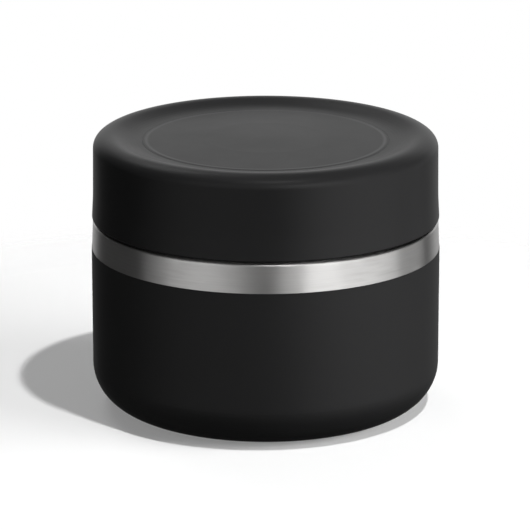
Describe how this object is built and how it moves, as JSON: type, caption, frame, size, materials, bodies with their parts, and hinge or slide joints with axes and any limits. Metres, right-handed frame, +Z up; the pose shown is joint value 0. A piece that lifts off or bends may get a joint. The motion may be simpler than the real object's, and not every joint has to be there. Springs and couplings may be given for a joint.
{
  "type": "insulated food jar",
  "caption": "Squat round vacuum-insulated steel food jar with a powder-coated body, a bare steel band and a flush screw-on insulated lid.",
  "frame": {"origin": "centre of the jar's footprint, on the surface it stands on", "axes": "+Z up along the jar's axis; the neck's thread starts at +X"},
  "size_m": [0.099, 0.099, 0.0787],
  "materials": {
    "brushed_steel": "satin",
    "black_powder_coat": "matte",
    "base_steel": "satin",
    "glass_solder": "gloss",
    "vessel_steel": "satin",
    "copper": "satin",
    "getter_metal": "matte",
    "lid_plastic": "matte",
    "lid_disc_plastic": "matte",
    "liner_plastic": "satin",
    "insulation_foam": "matte",
    "silicone": "matte"
  },
  "bodies": {
    "jar": {"outer_shell": "brushed_steel", "powder_coat": "black_powder_coat", "outer_base": "base_steel", "base_cover": "base_steel", "vacuum_seal": "glass_solder", "inner_vessel": "vessel_steel", "copper_foil": "copper", "getter_pill": "getter_metal", "getter_clip": "vessel_steel"},
    "seal": {"lid_gasket": "silicone"},
    "lid": {"lid_cover": "lid_plastic", "lid_top_disc": "lid_disc_plastic", "lid_liner": "liner_plastic", "lid_foam": "insulation_foam"}
  },
  "joints": [
    {"name": "lid_lift", "type": "slide", "parent": "jar", "child": "seal", "axis": [0, 0, 1], "range_m": [0, 0.021]},
    {"name": "lid_turn", "type": "hinge", "parent": "seal", "child": "lid", "pos_m": [0, 0, 0.0547], "axis": [0, 0, 1], "range_deg": [0, 1260]}
  ],
  "couplings": [
    {"joint": "lid_lift", "follows": "lid_turn", "m_per_rad": 0.00095493}
  ]
}
